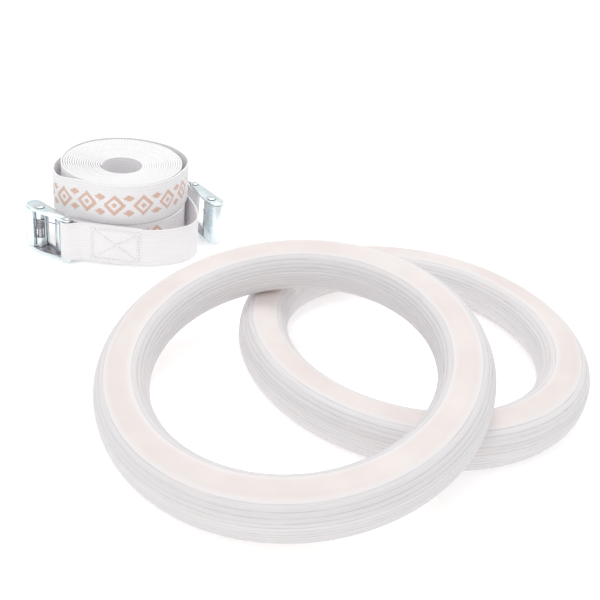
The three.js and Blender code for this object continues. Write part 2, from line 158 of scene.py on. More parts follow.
# The weave's own repeats
WARP_PITCH = 1.30
WEFT_PITCH = 1.15
RIB_PITCH = 2.6
SELVEDGE_PITCH = 2.3

# ---------------------------------------------------------------- tones (linear colours)

# Wood: pairs are the two ends of a range
PLY_TONES = (0.69, 0.673, 0.68), (0.75, 0.733, 0.74)
FINE_GREY = (0.61, 0.575, 0.585)
FIBRE_BROWN = (0.60, 0.555, 0.56)
PORE_GREY = (0.66, 0.63, 0.63)
PINK_WASH = (0.745, 0.68, 0.67)
GLUE_GREY = (0.45, 0.40, 0.42)
GLUE_RUST = (0.72, 0.42, 0.33)
OPEN_JOINT = (0.13, 0.10, 0.13)
FACE_TONES = (0.735, 0.662, 0.642), (0.775, 0.722, 0.703)
FACE_GRAIN = (0.685, 0.605, 0.59)
FACE_MARGIN = (0.785, 0.765, 0.765)
KNOT_GREY = (0.16, 0.13, 0.15)

# Webbing and thread
WEB_TINT = (0.885, 0.872, 0.885)
# The painted highlight along the webbing's rims
EDGE_HIGHLIGHT = (0.955, 0.95, 0.955)
# The painted shade in the needle holes
NEEDLE_HOLE_SHADE = (0.36, 0.32, 0.33)
PEACH_TONES = (0.63, 0.40, 0.315), (0.72, 0.495, 0.40)
THREAD_TONES = (0.80, 0.795, 0.80), (0.96, 0.955, 0.96)

# Metal and floor
PLATE_TONE = (0.83, 0.90, 0.93)
PIN_TONE = (0.80, 0.86, 0.90)
WIRE_TONE = (0.50, 0.49, 0.54)
# The painted shade inside the buckles and on the pins' sides
PAINTED_SHADE_TONES = (0.36, 0.31, 0.345), (0.47, 0.42, 0.455)
FLOOR_TONES = (0.93, 0.93, 0.93), (0.95, 0.95, 0.95)


def smooth(t):
    t = min(1.0, max(0.0, t))
    return t * t * (3 - 2 * t)


def ramp(value, start, length):
    """0 up to the start, 1 from a length past it, and smooth between."""
    return smooth((value - start) / length)


def shaded(tone, amount):
    return tuple(amount * c for c in tone)


# ---------------------------------------------------------------- node helpers

class Nodes:
    """Short calls for building a material's node tree."""

    def __init__(self, name):
        self.material = bpy.data.materials.new(name)
        self.material.use_nodes = True
        self.tree = self.material.node_tree
        self.shader = self.tree.nodes["Principled BSDF"]

    def link(self, source, socket):
        """Joins another node's output to the socket, or sets a number, vector or colour on it."""
        if isinstance(source, (int, float)):
            socket.default_value = source
        elif isinstance(source, tuple):
            is_color = len(socket.default_value) == 4 and len(source) == 3
            socket.default_value = source + (1.0,) if is_color else source
        else:
            self.tree.links.new(source, socket)

    def new(self, kind, inputs=None, output=0, **settings):
        node = self.tree.nodes.new(kind)
        for key, value in settings.items():
            setattr(node, key, value)
        for key, value in (inputs or {}).items():
            self.link(value, node.inputs[key])
        return node.outputs[output]

    def math(self, operation, a, b=0.0):
        return self.new("ShaderNodeMath", {0: a, 1: b}, operation=operation)

    def add(self, a, b):
        return self.math("ADD", a, b)

    def sub(self, a, b):
        return self.math("SUBTRACT", a, b)

    def mul(self, a, b):
        return self.math("MULTIPLY", a, b)

    def div(self, a, b):
        return self.math("DIVIDE", a, b)

    def least(self, a, b):
        return self.math("MINIMUM", a, b)

    def most(self, a, b):
        return self.math("MAXIMUM", a, b)

    def below(self, a, b):
        return self.math("LESS_THAN", a, b)

    def above(self, a, b):
        return self.math("GREATER_THAN", a, b)

    def apart(self, a, b):
        return self.math("ABSOLUTE", self.sub(a, b))

    def wave(self, value, length, operation="SINE"):
        return self.math(operation, self.mul(value, 2 * math.pi / length))

    def sway(self, value, amount):
        """A noise value swung about zero."""
        return self.mul(self.sub(value, 0.5), amount)

    def vector(self, operation, a, b=(0, 0, 0), output=0):
        return self.new("ShaderNodeVectorMath", {0: a, 1: b}, output, operation=operation)

    def attribute(self, name, output="Vector"):
        return self.new("ShaderNodeAttribute", output=output, attribute_name=name)

    def split(self, vector):
        node = self.tree.nodes.new("ShaderNodeSeparateXYZ")
        self.link(vector, node.inputs[0])
        return tuple(node.outputs)

    def join(self, x, y, z):
        return self.new("ShaderNodeCombineXYZ", {0: x, 1: y, 2: z})

    def at(self, values, scales):
        """A place for a texture, from three values, each times its own scale."""
        return self.join(*(self.mul(value, scale) for value, scale in zip(values, scales)))

    def noise(self, vector, scale=1.0, detail=2.0, roughness=0.5):
        inputs = {"Vector": vector, "Scale": scale, "Detail": detail, "Roughness": roughness}
        return self.new("ShaderNodeTexNoise", inputs)

    def fit(self, value, low, high, to_low=0.0, to_high=1.0, **settings):
        inputs = {
            "Value": value, "From Min": low, "From Max": high, "To Min": to_low, "To Max": to_high,
        }
        return self.new("ShaderNodeMapRange", inputs, **settings)

    def rise(self, value, low, high):
        """Eases from 0 to 1 as the value goes from low to high."""
        return self.fit(value, low, high, interpolation_type="SMOOTHSTEP")

    def fade(self, value, low, high):
        """Eases from 1 to 0 as the value goes from low to high."""
        return self.sub(1.0, self.rise(value, low, high))

    def mix(self, factor, a, b):
        node = self.tree.nodes.new("ShaderNodeMix")
        node.data_type = "RGBA"
        self.link(factor, node.inputs["Factor"])
        self.link(a, node.inputs[6])
        self.link(b, node.inputs[7])
        return node.outputs[2]

    def lay(self, color, tone, strength, value, low, high):
        """Lays a tone over the colour where the value rises from low to high."""
        return self.mix(self.mul(self.rise(value, low, high), strength), color, tone)

    def bump(self, height, strength, distance):
        inputs = {"Height": height, "Strength": strength, "Distance": distance}
        return self.new("ShaderNodeBump", inputs)

    def finish(self, color, roughness, normal=None, **fixed):
        self.link(color, self.shader.inputs["Base Color"])
        self.link(roughness, self.shader.inputs["Roughness"])
        if normal is not None:
            self.link(normal, self.shader.inputs["Normal"])
        for key, value in fixed.items():
            self.shader.inputs[key.replace("_", " ")].default_value = value
        return self.material


# ---------------------------------------------------------------- wood

def ring_wood(name, seed, knots):
    """Whitewashed laminated birch: pinkish face veneers, thin grey glue lines round the sides."""
    n = Nodes(name)
    plan = n.attribute("ring_plan")
    x, y, z = n.split(plan)
    cx, cy, _ = n.split(n.vector("NORMALIZE", n.join(x, y, 0.0)))
    height = n.add(n.mul(z, 1 / MM), GRIP_HALF_HEIGHT)

    def grain_round(scale, third, third_scale, shift, detail, roughness=0.5):
        """Noise that runs round the ring, with a third value to tell the layers apart."""
        place = n.at((cx, cy, third), (scale, scale, third_scale))
        return n.noise(n.vector("ADD", place, shift), 1.0, detail, roughness)

    drift = n.sway(grain_round(2.3, seed, 1.0, (0, 0, 0), 2.0), 0.35)
    ply_at = n.div(n.sub(n.add(height, drift), FACE_PLY), PLY)
    ply = n.math("FLOOR", ply_at)
    part = n.sub(ply_at, ply)
    edge = n.least(part, n.sub(1.0, part))

    # Glue lines, stronger in places along the ring, each ply's line on its own.
    ply_key = n.mul(n.math("ROUND", ply_at), 3.7)
    patch = grain_round(4.0, ply_key, 1.0, (seed, seed, 0), 3.0, 0.6)
    line = n.fade(edge, 0.02, 0.12)
    line_power = n.mul(line, n.fit(patch, 0.35, 0.7, 0.06, 0.52))
    gap = n.mul(n.fade(edge, 0.01, 0.05), n.rise(patch, 0.66, 0.74))

    # The cut edges of the plies: fibres, pores, a pink wash, and rust-brown glue in places.
    fibre = grain_round(9.0, height, 3.2, (0, seed, 0), 4.0, 0.65)
    pores = grain_round(90.0, height, 2.0, (0, 0, 0), 3.0, 0.7)
    wash = grain_round(3.0, height, 0.12, (seed, 0, 0), 3.0)
    fine = grain_round(5.0, height, 1.9, (seed, 4, 0), 2.0)
    rust = n.rise(grain_round(5.0, ply, 5.3, (0, 0, seed), 2.0), 0.66, 0.74)
    own = n.new("ShaderNodeTexWhiteNoise", {"W": n.add(ply, seed)}, noise_dimensions="1D")
    side = n.mix(own, *PLY_TONES)
    side = n.lay(side, FINE_GREY, 0.30, fine, 0.5, 0.68)
    side = n.lay(side, FIBRE_BROWN, 0.32, fibre, 0.52, 0.8)
    side = n.lay(side, PORE_GREY, 0.20, pores, 0.55, 0.8)
    side = n.lay(side, PINK_WASH, 0.40, wash, 0.5, 0.75)
    side = n.mix(line_power, side, GLUE_GREY)
    side = n.mix(n.mul(n.mul(rust, line), 0.6), side, GLUE_RUST)
    side = n.mix(gap, side, OPEN_JOINT)

    # Face veneer: a sliced sheet whose grain runs straight across the ring's plan.
    grain = n.noise(n.at((x, y, seed), (60.0, 700.0, 1.0)), 1.0, 4.0, 0.6)
    cloud = n.noise(n.vector("ADD", plan, (seed, 0, 0)), 38.0, 3.0)
    face = n.mix(n.fit(cloud, 0.3, 0.7), *FACE_TONES)
    face = n.lay(face, FACE_GRAIN, 0.25, grain, 0.5, 0.85)
    depth = n.least(height, n.sub(2 * GRIP_HALF_HEIGHT, height))
    face = n.lay(face, FACE_MARGIN, 0.85, depth, 0.12, 1.25)
    on_side = n.rise(n.add(depth, n.sway(fibre, 0.35)), FACE_PLY - 0.16, FACE_PLY + 0.02)
    color = n.mix(on_side, face, side)
    for kx, ky in knots:
        knot = (kx * MM, ky * MM, GRIP_HALF_HEIGHT * MM)
        away = n.vector("DISTANCE", plan, knot, output="Value")
        color = n.mix(n.mul(n.fade(away, 0.6 * MM, 1.4 * MM), 0.8), color, KNOT_GREY)

    relief = n.sub(n.mul(fibre, 0.5), n.add(line_power, gap))
    relief = n.add(relief, n.mul(pores, 0.3))
    both = {"Factor": on_side, 2: n.mul(grain, 0.35), 3: relief}
    bump = n.bump(n.new("ShaderNodeMix", both, data_type="FLOAT"), 0.5, 0.00018)
    return n.finish(color, n.fit(fibre, 0.3, 0.7, 0.50, 0.64), bump, Specular_IOR_Level=0.35)


# ---------------------------------------------------------------- webbing and thread

def stitch_marks(n, s, h, rim):
    """Where the box stitch's rows draw the weave in, and where its needle holes are: masks for
    painted shade.
    """
    sx = n.sub(s, HALF_LOOP + STITCH_START)
    climb = n.mul(sx, (WEB_WIDTH - 2 * STITCH_MARGIN) / STITCH_LENGTH)
    climb = n.add(climb, STITCH_MARGIN)
    cross = n.least(n.apart(h, climb), n.apart(h, n.sub(WEB_WIDTH, climb)))
    near_row = n.least(n.apart(rim, STITCH_MARGIN), cross)
    near_bar = n.least(n.math("ABSOLUTE", sx), n.apart(sx, STITCH_LENGTH - BAR_WIDTH / 2))
    in_box = n.mul(n.above(sx, 0.0), n.below(sx, STITCH_LENGTH))
    inside_rows = n.above(rim, STITCH_MARGIN - 0.8)
    row_pull_shade = n.mul(n.fade(near_row, 0.3, 1.5), in_box)
    bar_pull_shade = n.mul(n.fade(near_bar, 0.9, 2.4), inside_rows)
    beat = n.wave(sx, STITCH_PITCH, "COSINE")
    beat_up = n.wave(n.sub(h, STITCH_MARGIN), STITCH_PITCH, "COSINE")
    row_hole = n.mul(n.below(near_row, 0.55), n.above(beat, 0.72))
    bar_hole = n.mul(n.below(near_bar, 0.75), n.above(beat_up, 0.72))
    hole_shade = n.most(n.mul(row_hole, in_box), n.mul(bar_hole, inside_rows))
    return n.most(row_pull_shade, bar_pull_shade), hole_shade


def ornament_yarns(n, s, h, start, middle):
    """A grid of yarns, 1 on the ornament: eyed lozenges between pairs of small stepped wedges."""
    grid_s = n.mul(n.math("FLOOR", n.div(s, ORNAMENT_CELL)), ORNAMENT_CELL)
    grid_h = n.mul(n.math("FLOOR", n.div(h, ORNAMENT_CELL)), ORNAMENT_CELL)
    off_middle = n.apart(grid_h, middle - ORNAMENT_CELL / 2)
    back = n.math("PINGPONG", n.sub(grid_s, start - ORNAMENT_LEAD), ORNAMENT_PERIOD / 2)
    along = n.sub(ORNAMENT_PERIOD / 2, back)
    lozenge = n.add(n.div(along, 8.6), n.div(off_middle, 8.8))
    outline = n.mul(n.rise(lozenge, 0.60, 0.61), n.below(lozenge, 1.0))
    eye = n.below(lozenge, 0.27)
    wedge = n.add(n.div(back, 4.6), n.div(n.apart(off_middle, 6.2), 2.9))
    return n.most(n.most(outline, eye), n.below(wedge, 1.0))


def webbing(name, ornament):
    """Plain-woven polyester webbing, ribbed along its length, with a woven ornament."""
    n = Nodes(name)
    s, h, mark = n.split(n.attribute("web_at"))
    over = n.mul(n.wave(h, WARP_PITCH), n.wave(s, WEFT_PITCH))
    rib = n.wave(h, RIB_PITCH)
    yarn = n.noise(n.at((s, h, 0.0), (1.4, 9.0, 1.0)), 1.0, 3.0, 0.65)
    slub = n.noise(n.at((s, h, 3.0), (0.045, 0.75, 1.0)), 1.0, 3.0, 0.6)
    shade = n.add(n.mul(over, 0.10), n.mul(rib, 0.16))
    shade = n.add(shade, n.sway(slub, 0.9))
    shade = n.add(shade, n.sway(yarn, 0.5))
    color = n.mix(n.fit(shade, -0.6, 0.6), shaded(WEB_TINT, 0.90), WEB_TINT)

    # Selvedge: the edge yarns turn back on themselves in small loops, painted with shade between
    # them.
    rim = n.least(h, n.sub(WEB_WIDTH, h))
    selvedge = n.fade(rim, 0.5, 1.6)
    loops = n.wave(s, SELVEDGE_PITCH)
    # Painted highlight along both rims of the webbing, which make the lit tops of the rolls.
    color = n.mix(n.mul(n.fade(rim, 0.15, 0.8), 0.8), color, EDGE_HIGHLIGHT)
    loop_shade = n.mul(selvedge, n.fit(loops, -1, 1, 0.0, 0.22))
    color = n.mix(loop_shade, color, shaded(WEB_TINT, 0.76))

    pull_shade, hole_shade = stitch_marks(n, s, h, rim)
    # Painted shade along the stitch rows, where they draw the weave in.
    color = n.mix(n.mul(pull_shade, 0.16), color, shaded(WEB_TINT, 0.70))
    # Painted shade in the needle holes.
    color = n.mix(n.mul(hole_shade, 0.32), color, NEEDLE_HOLE_SHADE)

    start, _, middle = ornament
    woven = n.mul(ornament_yarns(n, s, h, start, middle), n.above(mark, 0.5))
    peach = n.mix(n.fit(over, -1, 1), *PEACH_TONES)
    color = n.mix(n.mul(woven, 0.92), color, peach)

    relief = n.add(n.mul(over, 0.5), n.mul(rib, 0.5))
    relief = n.add(relief, n.mul(n.mul(loops, selvedge), 1.2))
    relief = n.sub(n.add(relief, n.mul(slub, 1.2)), n.mul(pull_shade, 2.0))
    bump = n.bump(relief, 0.55, 0.00022)
    return n.finish(
        color, 0.82, bump, Sheen_Weight=0.25, Sheen_Roughness=0.5, Specular_IOR_Level=0.3,
    )


def thread():
    n = Nodes("stitch_thread")
    twist = n.noise(n.new("ShaderNodeTexCoord", output="Object"), 2600.0, 2.0)
    color = n.mix(n.fit(twist, 0.35, 0.65), *THREAD_TONES)
    return n.finish(color, 0.5, n.bump(twist, 0.5, 0.0001), Sheen_Weight=0.2)


# ---------------------------------------------------------------- metal and floor

def zinc(name, base, roughness, streak, shaded_sides=0.0):
    """Blue-white zinc plate, with purple-grey painted shade on the faces shut inside the buckle."""
    n = Nodes(name)
    at = n.new("ShaderNodeTexCoord", output="Object")
    cloud = n.noise(at, 190.0, 3.0)
    cloudy = n.fit(cloud, 0.35, 0.65)
    rolled = n.noise(n.at(n.split(at), (300.0, 300.0, 4200.0)), 1.0, 2.0)
    spark = n.noise(at, 1500.0, 2.0, 0.7)
    warm = tuple(min(1.0, c * k) for c, k in zip(base, (1.04, 1.0, 0.95)))
    cool = tuple(c * k for c, k in zip(base, (0.90, 0.97, 1.0)))
    color = n.lay(n.mix(cloudy, cool, warm), shaded(base, 0.6), 0.25, spark, 0.6, 0.8)
    painted_shade = n.mix(cloudy, *PAINTED_SHADE_TONES)
    # Painted shade: faces that look across the buckle at another wall turn purple-grey.
    color = n.mix(n.mul(n.attribute("shut_in", "Fac"), 0.85), color, painted_shade)
    # Painted shade on the steep sides, whose normals lie near the horizontal.
    if shaded_sides:
        normal = n.new("ShaderNodeNewGeometry", output="Normal")
        up = n.math("ABSOLUTE", n.split(normal)[2])
        color = n.mix(n.mul(n.fade(up, 0.3, 0.8), shaded_sides), color, painted_shade)
    scratch_at = {"Vector": n.vector("MULTIPLY", at, (900, 260, 2200)), "Scale": 1.0}
    scratch = n.new("ShaderNodeTexVoronoi", scratch_at, feature="DISTANCE_TO_EDGE")
    cut = n.fade(scratch, 0.0, 0.03)
    worn = n.add(cloud, n.mul(rolled, 0.4))
    relief = n.sub(n.mul(rolled, streak), n.mul(cut, 0.5))
    relief = n.add(relief, n.mul(spark, 0.5))
    bump = n.bump(relief, 0.25, 0.00005)
    return n.finish(color, n.fit(worn, 0.5, 0.95, roughness, roughness + 0.14), bump, Metallic=1.0)


def floor_paint():
    n = Nodes("floor_paint")
    at = n.new("ShaderNodeTexCoord", output="Object")
    tone = n.mix(n.noise(at, 3.0, 2.0), *FLOOR_TONES)
    n.link(tone, n.shader.inputs["Emission Color"])
    return n.finish(tone, 0.9, Emission_Strength=0.26)


# ---------------------------------------------------------------- meshes

def make_object(name, verts, faces, attributes=None):
    mesh = bpy.data.meshes.new(name)
    mesh.from_pydata(verts, [], faces)
    for key, values in (attributes or {}).items():
        layer = mesh.attributes.new(key, "FLOAT_VECTOR", "POINT")
        layer.data.foreach_set("vector", [c for v in values for c in v])
    mesh.update()
    mesh.shade_smooth()
    made = bpy.data.objects.new(name, mesh)
    bpy.context.scene.collection.objects.link(made)
    return made


def grid_faces(rows, columns, close_rows=False):
    """Faces between neighbouring rows of points. Each row is a closed loop."""
    faces = []
    for i in range(rows if close_rows else rows - 1):
        for j in range(columns):
            a, b = i, (i + 1) % rows
            c, d = j, (j + 1) % columns
            corners = (a * columns + c, b * columns + c, b * columns + d, a * columns + d)
            faces.append(corners)
    return faces


# ---------------------------------------------------------------- rings

def grip_profile():
    """The grip's section, outside then top, inside and bottom: (radius, height, in a groove)."""
    flat_r = GRIP_HALF_WIDTH - GRIP_ROUND
    flat_z = GRIP_HALF_HEIGHT - GRIP_ROUND

    def half_width(z):
        past = max(0.0, abs(z) - flat_z)
        return flat_r + math.sqrt(max(0.0, GRIP_ROUND ** 2 - past ** 2))

    joints = [FACE_PLY + PLY * i - GRIP_HALF_HEIGHT for i in range(INNER_PLIES + 1)]
    cuts = []
    for joint in joints:
        cuts += [(joint - GROOVE_HALF, 0.0), (joint, GROOVE_DEPTH), (joint + GROOVE_HALF, 0.0)]
    for low, high in zip(joints, joints[1:]):
        cuts.append(((low + high) / 2, -PLY_BULGE))
    for k in range(1, 8):
        depth = FACE_PLY * (k / 8) ** 2
        cuts += [(GRIP_HALF_HEIGHT - depth, 0.0), (depth - GRIP_HALF_HEIGHT, 0.0)]
    cuts.sort()
    outer = [(GRIP_MID_R + half_width(z) - cut, z, cut == GROOVE_DEPTH) for z, cut in cuts]
    inner = [(GRIP_MID_R - half_width(z) + cut, z, cut == GROOVE_DEPTH) for z, cut in cuts]
    top = [(GRIP_MID_R + flat_r * k, GRIP_HALF_HEIGHT, False) for k in (1, 0, -1)]
    bottom = [(GRIP_MID_R - flat_r * k, -GRIP_HALF_HEIGHT, False) for k in (1, 0, -1)]
    return outer + top + inner[::-1] + bottom


def ring(name, body, node, seed, place, knots=()):
    """A turned laminated ring. Each glue joint is a shallow groove whose depth varies round it."""
    profile = grip_profile()
    verts, local = [], []
    for i in range(RING_STEPS):
        a = 2 * math.pi * i / RING_STEPS
        ca, sa = math.cos(a), math.sin(a)
        for r, z, groove in profile:
            deeper = 0.0
            if groove:
                deeper = GROOVE_WEAR * noise.noise(Vector((ca * 3.0, sa * 3.0, z * 0.55 + seed)))
            toward = 1.0 if r > GRIP_MID_R else -1.0
            on_face = abs(z) > GRIP_HALF_HEIGHT - 0.02
            radius = r if on_face else r - toward * (SANDED_OFF + deeper)
            point = Vector((radius * ca, radius * sa, z)) * MM
            local.append(point)
            verts.append(place @ point)
    faces = grid_faces(RING_STEPS, len(profile), close_rows=True)
    made = make_object(name, verts, faces, {"ring_plan": local})
    made.data.materials.append(ring_wood(name + "_wood", seed, knots))
    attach(made, body)
    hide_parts(node)


# ---------------------------------------------------------------- straps

def spline(points, step):
    """Points on a smooth curve through (angle, radius) pairs, every step degrees."""
    out = []
    for i, ((x0, y0), (x1, y1)) in enumerate(zip(points, points[1:])):
        span = x1 - x0
        slope0 = slope1 = (y1 - y0) / span
        if i > 0:
            slope0 = (y1 - points[i - 1][1]) / (x1 - points[i - 1][0])
        if i + 2 < len(points):
            slope1 = (points[i + 2][1] - y0) / (points[i + 2][0] - x0)
        pieces = max(1, round(span / step))
        for k in range(pieces):
            t = k / pieces
            y = (
                (2 * t ** 3 - 3 * t ** 2 + 1) * y0 + (t ** 3 - 2 * t ** 2 + t) * span * slope0
                + (3 * t ** 2 - 2 * t ** 3) * y1 + (t ** 3 - t ** 2) * span * slope1
            )
            out.append((x0 + span * t, y))
    out.append(points[-1])
    return out


def lower_edge(deg):
    """The height of the lower strap's bottom edge: up at its buckle, down on the floor after it."""
    return ANCHORED_EDGE * (1 - ramp(deg, 262, 58))


def upper_edge(deg):
    """The height of the upper strap's bottom edge, as it climbs behind the rolls to lie on top."""
    behind = ANCHORED_EDGE + (UPPER_BASE - LAST_CLIMB - ANCHORED_EDGE) * ramp(deg, 45, 140)
    proud = 1.1 * ramp(deg, 385, 30) * (1 - ramp(deg, 500, 50))
    return behind + LAST_CLIMB * ramp(deg, 210, 36) + proud


class Route:
    """The strap's line from the anchor rod inwards, measured by length from the rod."""

    def __init__(self, centre, control, edge, seed):
        turns = spline(control, SPLINE_STEP)
        deg, r = turns[-1]
        while r > CORE_HOLE_R + WEB_THICK / 2:
            deg += CORE_STEP
            r -= TURN_PITCH * CORE_STEP / 360.0
            turns.append((deg, r))
        cx, cy = centre.x / MM, centre.y / MM
        tight = control[-1][0] - 60
        reach = TIGHT_R - CORE_HOLE_R
        self.points = []
        self.plump = []
        for deg, r in turns:
            a = math.radians(deg)
            ca, sa = math.cos(a), math.sin(a)
            calm = ramp(deg, tight - 120, 240)
            key = Vector((ca * 0.9, sa * 0.9, deg / 360.0 * 1.9 + seed))
            lift = calm * UNEVEN_EDGE * (0.5 + 0.5 * noise.noise(key))
            # The turns lie tighter on the near side, so each is a little off the next one's centre.
            off = CORE_SHIFT * max(0.0, (TIGHT_R - r) / reach)
            self.points.append(off + Vector((cx + r * ca, cy + r * sa, edge(deg) + lift)))
            toward = CORE_SHIFT.x * ca + CORE_SHIFT.y * sa
            room = TURN_PITCH * (1 - toward / reach) - TURN_GAP
            full = ramp(deg, tight, 180)
            self.plump.append(WEB_THICK + (min(room, PLUMPEST) - WEB_THICK) * full)
        self.lengths = [0.0]
        for p, q in zip(self.points, self.points[1:]):
            self.lengths.append(self.lengths[-1] + (q - p).length)
        self.length = self.lengths[-1]

    def last_before(self, s):
        return max(0, bisect.bisect_right(self.lengths, s) - 1)

    def at(self, s):
        """The point at this length, and the way out from the roll there."""
        i = min(self.last_before(s), len(self.points) - 2)
        p, q = self.points[i], self.points[i + 1]
        t = (s - self.lengths[i]) / (self.lengths[i + 1] - self.lengths[i])
        side = Vector((q.y - p.y, p.x - q.x, 0)).normalized()
        return p.lerp(q, min(1.0, max(0.0, t))), side

    def thickness(self, s):
        """The webbing lies flatter where the turns press on each other."""
        return self.plump[self.last_before(s)]

    def beside(self, s, off):
        point, side = self.at(s)
        return point + side * off


def layer_offset(s):
    return LAYER + (LOOP_R - LAYER) * (1 - smooth(s / SPREAD_LENGTH))


def outer_offset(s):
    return layer_offset(s) * (1 - ramp(s, DOUBLED_LENGTH, STEP_DOWN_LENGTH))


def strap_line(route):
    """Every point of the strap, from its sewn-down end, round the rod, to the middle of the roll."""
    line = []
    s = DOUBLED_LENGTH
    while s > 1.0:
        line.append((route.beside(s, -layer_offset(s)), -s - HALF_LOOP))
        s -= LINE_STEP
    rod = route.beside(0, 0)
    outward = (route.beside(0, 1) - rod).normalized()
    back = Vector((outward.y, -outward.x, 0))
    for i in range(13):
        a = math.pi * (1 - i / 12)
        point = rod + outward * (LOOP_R * math.cos(a)) + back * (LOOP_R * math.sin(a))
        line.append((point, HALF_LOOP * (i / 6 - 1)))
    s = LINE_STEP
    while s < route.length:
        line.append((route.beside(s, outer_offset(s)), s + HALF_LOOP))
        s += LINE_STEP if s < INNER_FROM else INNER_STEP
    return line


def web_section():
    """The webbing's section: offset across its thickness and height across its width."""
    half = WEB_THICK / 2
    edge = [(half, 0.5), (half * 0.93, 0.2), (half * 0.6, 0.05), (0.0, 0.0)]
    low = edge + [(-o, h) for o, h in reversed(edge[:-1])]
    high = [(-o, WEB_WIDTH - h) for o, h in low]
    middle = [0.2, 0.4, 0.6, 0.8]
    left = [(-half, WEB_WIDTH * t) for t in middle]
    right = [(half, WEB_WIDTH * (1 - t)) for t in middle]
    return low + left + high + right


def strap(prefix, centre, control, edge, seed, ornament):
    """One strap as a single length of webbing. Gives the object, its route and its length."""
    route = Route(centre, control, edge, seed)
    line = strap_line(route)
    section = web_section()
    start, end, _ = ornament
    verts, where = [], []
    run = 0.0
    for i, (point, s) in enumerate(line):
        before = line[max(0, i - 1)][0]
        after = line[min(len(line) - 1, i + 1)][0]
        side = Vector((after.y - before.y, before.x - after.x, 0)).normalized()
        if i:
            run += (point - line[i - 1][0]).length
        swell = route.thickness(s) / WEB_THICK
        for off, h in section:
            verts.append((point + side * (off * swell) + Vector((0, 0, h))) * MM)
            mark = 1.0 if off > 0.2 and start < s < end else 0.0
            where.append((s, h, mark))
    count = len(section)
    faces = grid_faces(len(line), count)
    faces.append(tuple(reversed(range(count))))
    faces.append(tuple(range(len(verts) - count, len(verts))))
    faces = [tuple(reversed(face)) for face in faces]
    made = make_object(f"{prefix}_strap_webbing", verts, faces, {"web_at": where})
    made.data.materials.append(webbing(f"{prefix}_webbing", ornament))
    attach(made, f"{prefix}_strap")
    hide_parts(*(f"{prefix}_strap_{part}" for part in ("roll", "outer_wrap", "sewn_loop")))
    return made, route, run


def stitch_ends():
    """Both ends of every stitch: two edge rows, a cross, one end row and a bar of two rows."""
    low, high = STITCH_MARGIN, WEB_WIDTH - STITCH_MARGIN
    s0, s1 = STITCH_START, STITCH_START + STITCH_LENGTH
    rows = [
        ((s0, low), (s1, low)), ((s0, high), (s1, high)), ((s0, low), (s1, high)),
        ((s0, high), (s1, low)), ((s0, low), (s0, high)),
        ((s1 - BAR_WIDTH, low), (s1 - BAR_WIDTH, high)), ((s1, low), (s1, high)),
    ]
    ends = []
    for (sa, ha), (sb, hb) in rows:
        ds, dh = sb - sa, hb - ha
        length = math.hypot(ds, dh)
        count = max(2, round(length / STITCH_PITCH))
        for i in range(count):
            t0, t1 = (i + STITCH_TRIM) / count, (i + 1 - STITCH_TRIM) / count
            across = Vector((-dh, ds)) / length * (STITCH_SWAY if i % 2 else -STITCH_SWAY)
            ends.append((
                (sa + ds * t0 - across.x, ha + dh * t0 - across.y),
                (sa + ds * t1 + across.x, ha + dh * t1 + across.y),
            ))
    return ends


def box_stitch(prefix, route):
    """Every stitch is a short arched thread that dips into the webbing at both ends."""
    around, along = 8, 7
    verts, faces = [], []
    for (sa, ha), (sb, hb) in stitch_ends():
        base = len(verts)
        for k in range(along):
            t = k / (along - 1)
            s, h = sa + (sb - sa) * t, ha + (hb - ha) * t
            point, side = route.at(s)
            ahead = Vector((-side.y, side.x, 0))
            direction = (ahead * (sb - sa) + Vector((0, 0, hb - ha))).normalized()
            cross = side.cross(direction)
            swell = math.sin(math.pi * (THREAD_TIP + (1 - 2 * THREAD_TIP) * t))
            thick = THREAD_R * swell ** 0.5
            rise = WEB_THICK / 2 - THREAD_SINK + THREAD_RISE * swell
            centre = point + side * (outer_offset(s) + rise) + Vector((0, 0, h))
            for j in range(around):
                a = 2 * math.pi * j / around
                out = side * (thick * THREAD_FLATNESS * math.cos(a))
                verts.append((centre + out + cross * (thick * math.sin(a))) * MM)
        for k in range(along - 1):
            a, b = base + k * around, base + (k + 1) * around
            for j in range(around):
                j2 = (j + 1) % around
                faces.append((a + j, a + j2, b + j2, b + j))
        faces.append(tuple(base + j for j in reversed(range(around))))
        faces.append(tuple(base + (along - 1) * around + j for j in range(around)))
    made = make_object(f"{prefix}_strap_box_stitch", verts, faces)
    made.data.materials.append(THREAD)
    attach(made, f"{prefix}_strap")
    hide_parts(f"{prefix}_strap_stitching")
    return made


# ---------------------------------------------------------------- buckles

def buckle_walls(side):
    """The frame and lever of one buckle, for finding which faces look into it."""
    verts, faces = [], []
    for part in ("frame", "cam_lever"):
        mesh = CAD_OBJECTS[f"{side}_buckle_{part}"].data
        base = len(verts)
        verts += [v.co.copy() for v in mesh.vertices]
        faces += [tuple(base + i for i in p.vertices) for p in mesh.polygons]
    return BVHTree.FromPolygons(verts, faces)


def mark_painted_shade(mesh, walls):
    """Give each face 1 where it looks across the buckle at another wall, else 0; those faces get
    painted shade.
    """
    layer = mesh.attributes.new("shut_in", "FLOAT", "FACE")
    for polygon in mesh.polygons:
        start = polygon.center + polygon.normal * (0.3 * MM)
        hit = walls.ray_cast(start, polygon.normal, 36 * MM)
        across = hit[3] or 0.0
        layer.data[polygon.index].value = 1.0 if across > 2 * MM else 0.0


